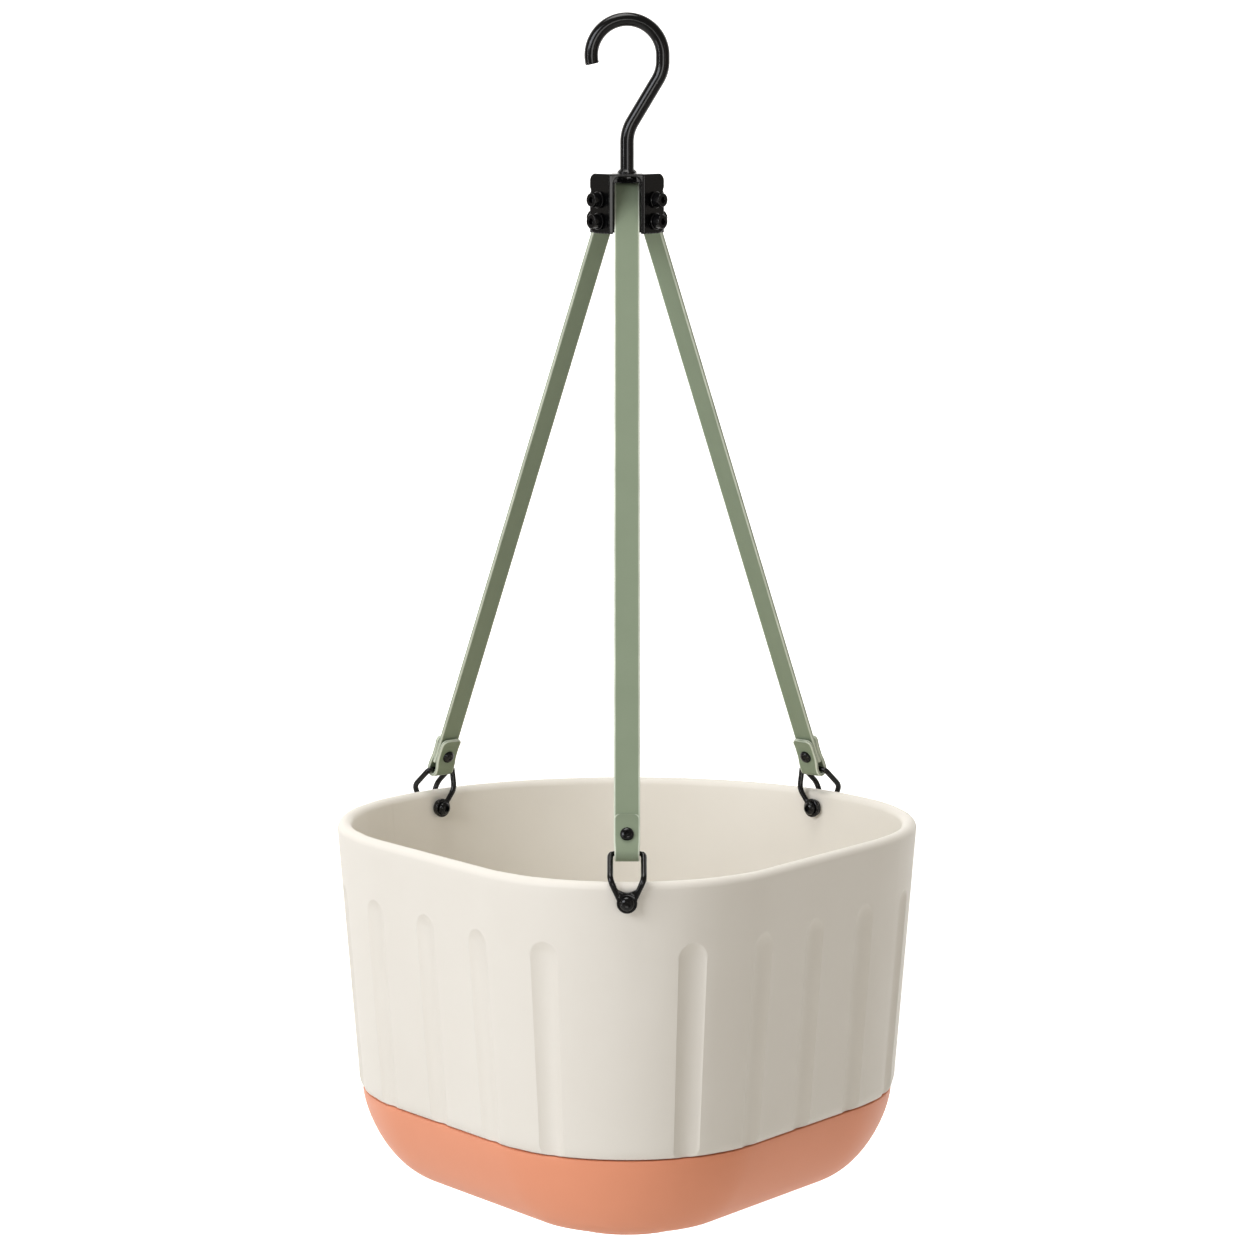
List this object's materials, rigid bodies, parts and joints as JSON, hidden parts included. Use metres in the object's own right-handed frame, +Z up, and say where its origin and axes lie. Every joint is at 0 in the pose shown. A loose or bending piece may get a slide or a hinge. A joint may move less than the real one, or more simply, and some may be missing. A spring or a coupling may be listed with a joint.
{
  "type": "hanging basket planter",
  "caption": "Hanging planter: fluted moulded shell with a clip-on drip tray, carried by three flat straps on rim shackles, joined in a clamp bracket under a swivelling hook.",
  "frame": {"origin": "hang point on the inside of the hook's bend, on the swivel axis", "axes": "+Z up along the swivel axis, -Y towards the planter's rounded front nose, +X to the right seen from the front"},
  "size_m": [0.2996, 0.3257, 0.6016],
  "materials": {
    "black_powder_coat": "satin",
    "black_nylon": "matte",
    "ivory_shell": "matte",
    "coral_tray": "matte",
    "sage_strap": "matte"
  },
  "bodies": {
    "hook": {"hook": "black_powder_coat", "hook_washer": "black_powder_coat", "hook_nut": "black_powder_coat"},
    "front_shackle": {"shackle_front": "black_powder_coat"},
    "front_strap": {"strap_front": "sage_strap", "strap_loop_front": "sage_strap", "strap_rivet_front": "black_powder_coat"},
    "left_shackle": {"shackle_left": "black_powder_coat"},
    "left_strap": {"strap_left": "sage_strap", "strap_loop_left": "sage_strap", "strap_rivet_left": "black_powder_coat"},
    "right_shackle": {"shackle_right": "black_powder_coat"},
    "right_strap": {"strap_right": "sage_strap", "strap_loop_right": "sage_strap", "strap_rivet_right": "black_powder_coat"},
    "tray": {"drip_tray": "coral_tray"},
    "basket": {"bracket_screw_1": "black_powder_coat", "bracket_screw_2": "black_powder_coat", "bracket_screw_3": "black_powder_coat", "bracket_screw_4": "black_powder_coat", "bracket_washer_1": "black_powder_coat", "bracket_washer_2": "black_powder_coat", "bracket_washer_3": "black_powder_coat", "bracket_washer_4": "black_powder_coat", "clamp_bracket": "black_powder_coat", "floor_plate": "ivory_shell", "hook_bush": "black_nylon", "inner_washer_front": "black_nylon", "inner_washer_left": "black_nylon", "inner_washer_right": "black_nylon", "outer_washer_front": "black_nylon", "outer_washer_left": "black_nylon", "outer_washer_right": "black_nylon", "planter_shell": "ivory_shell", "rear_plate_left": "black_powder_coat", "rear_plate_right": "black_powder_coat", "rear_screw_1": "black_powder_coat", "rear_screw_2": "black_powder_coat", "rear_screw_3": "black_powder_coat", "rear_screw_4": "black_powder_coat", "strap_block": "black_nylon", "strap_pin": "black_powder_coat", "wall_nut_front": "black_powder_coat", "wall_nut_left": "black_powder_coat", "wall_nut_right": "black_powder_coat", "wall_screw_front": "black_powder_coat", "wall_screw_left": "black_powder_coat", "wall_screw_right": "black_powder_coat"}
  },
  "joints": [
    {"name": "hook_swivel", "type": "hinge", "parent": "hook", "child": "basket", "pos_m": [0, 0, 0], "axis": [0, 0, 1], "continuous": true},
    {"name": "front_shackle_pivot", "type": "hinge", "parent": "basket", "child": "front_shackle", "pos_m": [0, -0.16247, -0.4165], "axis": [0, -1, 0], "range_deg": [-5, 5], "stiffness_Nm_per_rad": 0.2},
    {"name": "front_strap_sway", "type": "hinge", "parent": "basket", "child": "front_strap", "pos_m": [0, -0.012, -0.102], "axis": [0, -1, 0], "range_deg": [-0.4, 0.4]},
    {"name": "left_shackle_pivot", "type": "hinge", "parent": "basket", "child": "left_shackle", "pos_m": [-0.10623, 0.11392, -0.4165], "axis": [-0.682, 0.7314, 0], "range_deg": [-5, 5], "stiffness_Nm_per_rad": 0.2},
    {"name": "left_strap_sway", "type": "hinge", "parent": "basket", "child": "left_strap", "pos_m": [-0.01262, 0.01353, -0.102], "axis": [-0.682, 0.7314, 0], "range_deg": [-0.4, 0.4]},
    {"name": "right_shackle_pivot", "type": "hinge", "parent": "basket", "child": "right_shackle", "pos_m": [0.10623, 0.11392, -0.4165], "axis": [0.682, 0.7314, 0], "range_deg": [-5, 5], "stiffness_Nm_per_rad": 0.2},
    {"name": "right_strap_sway", "type": "hinge", "parent": "basket", "child": "right_strap", "pos_m": [0.01262, 0.01353, -0.102], "axis": [0.682, 0.7314, 0], "range_deg": [-0.4, 0.4]},
    {"name": "tray_release", "type": "slide", "parent": "basket", "child": "tray", "axis": [0, 0, -1], "range_m": [0, 0.06]}
  ],
  "couplings": [
    {"joint": "front_strap_sway", "follows": "front_shackle_pivot", "ratio": -0.07393},
    {"joint": "left_strap_sway", "follows": "left_shackle_pivot", "ratio": -0.07393},
    {"joint": "right_strap_sway", "follows": "right_shackle_pivot", "ratio": -0.07393}
  ]
}
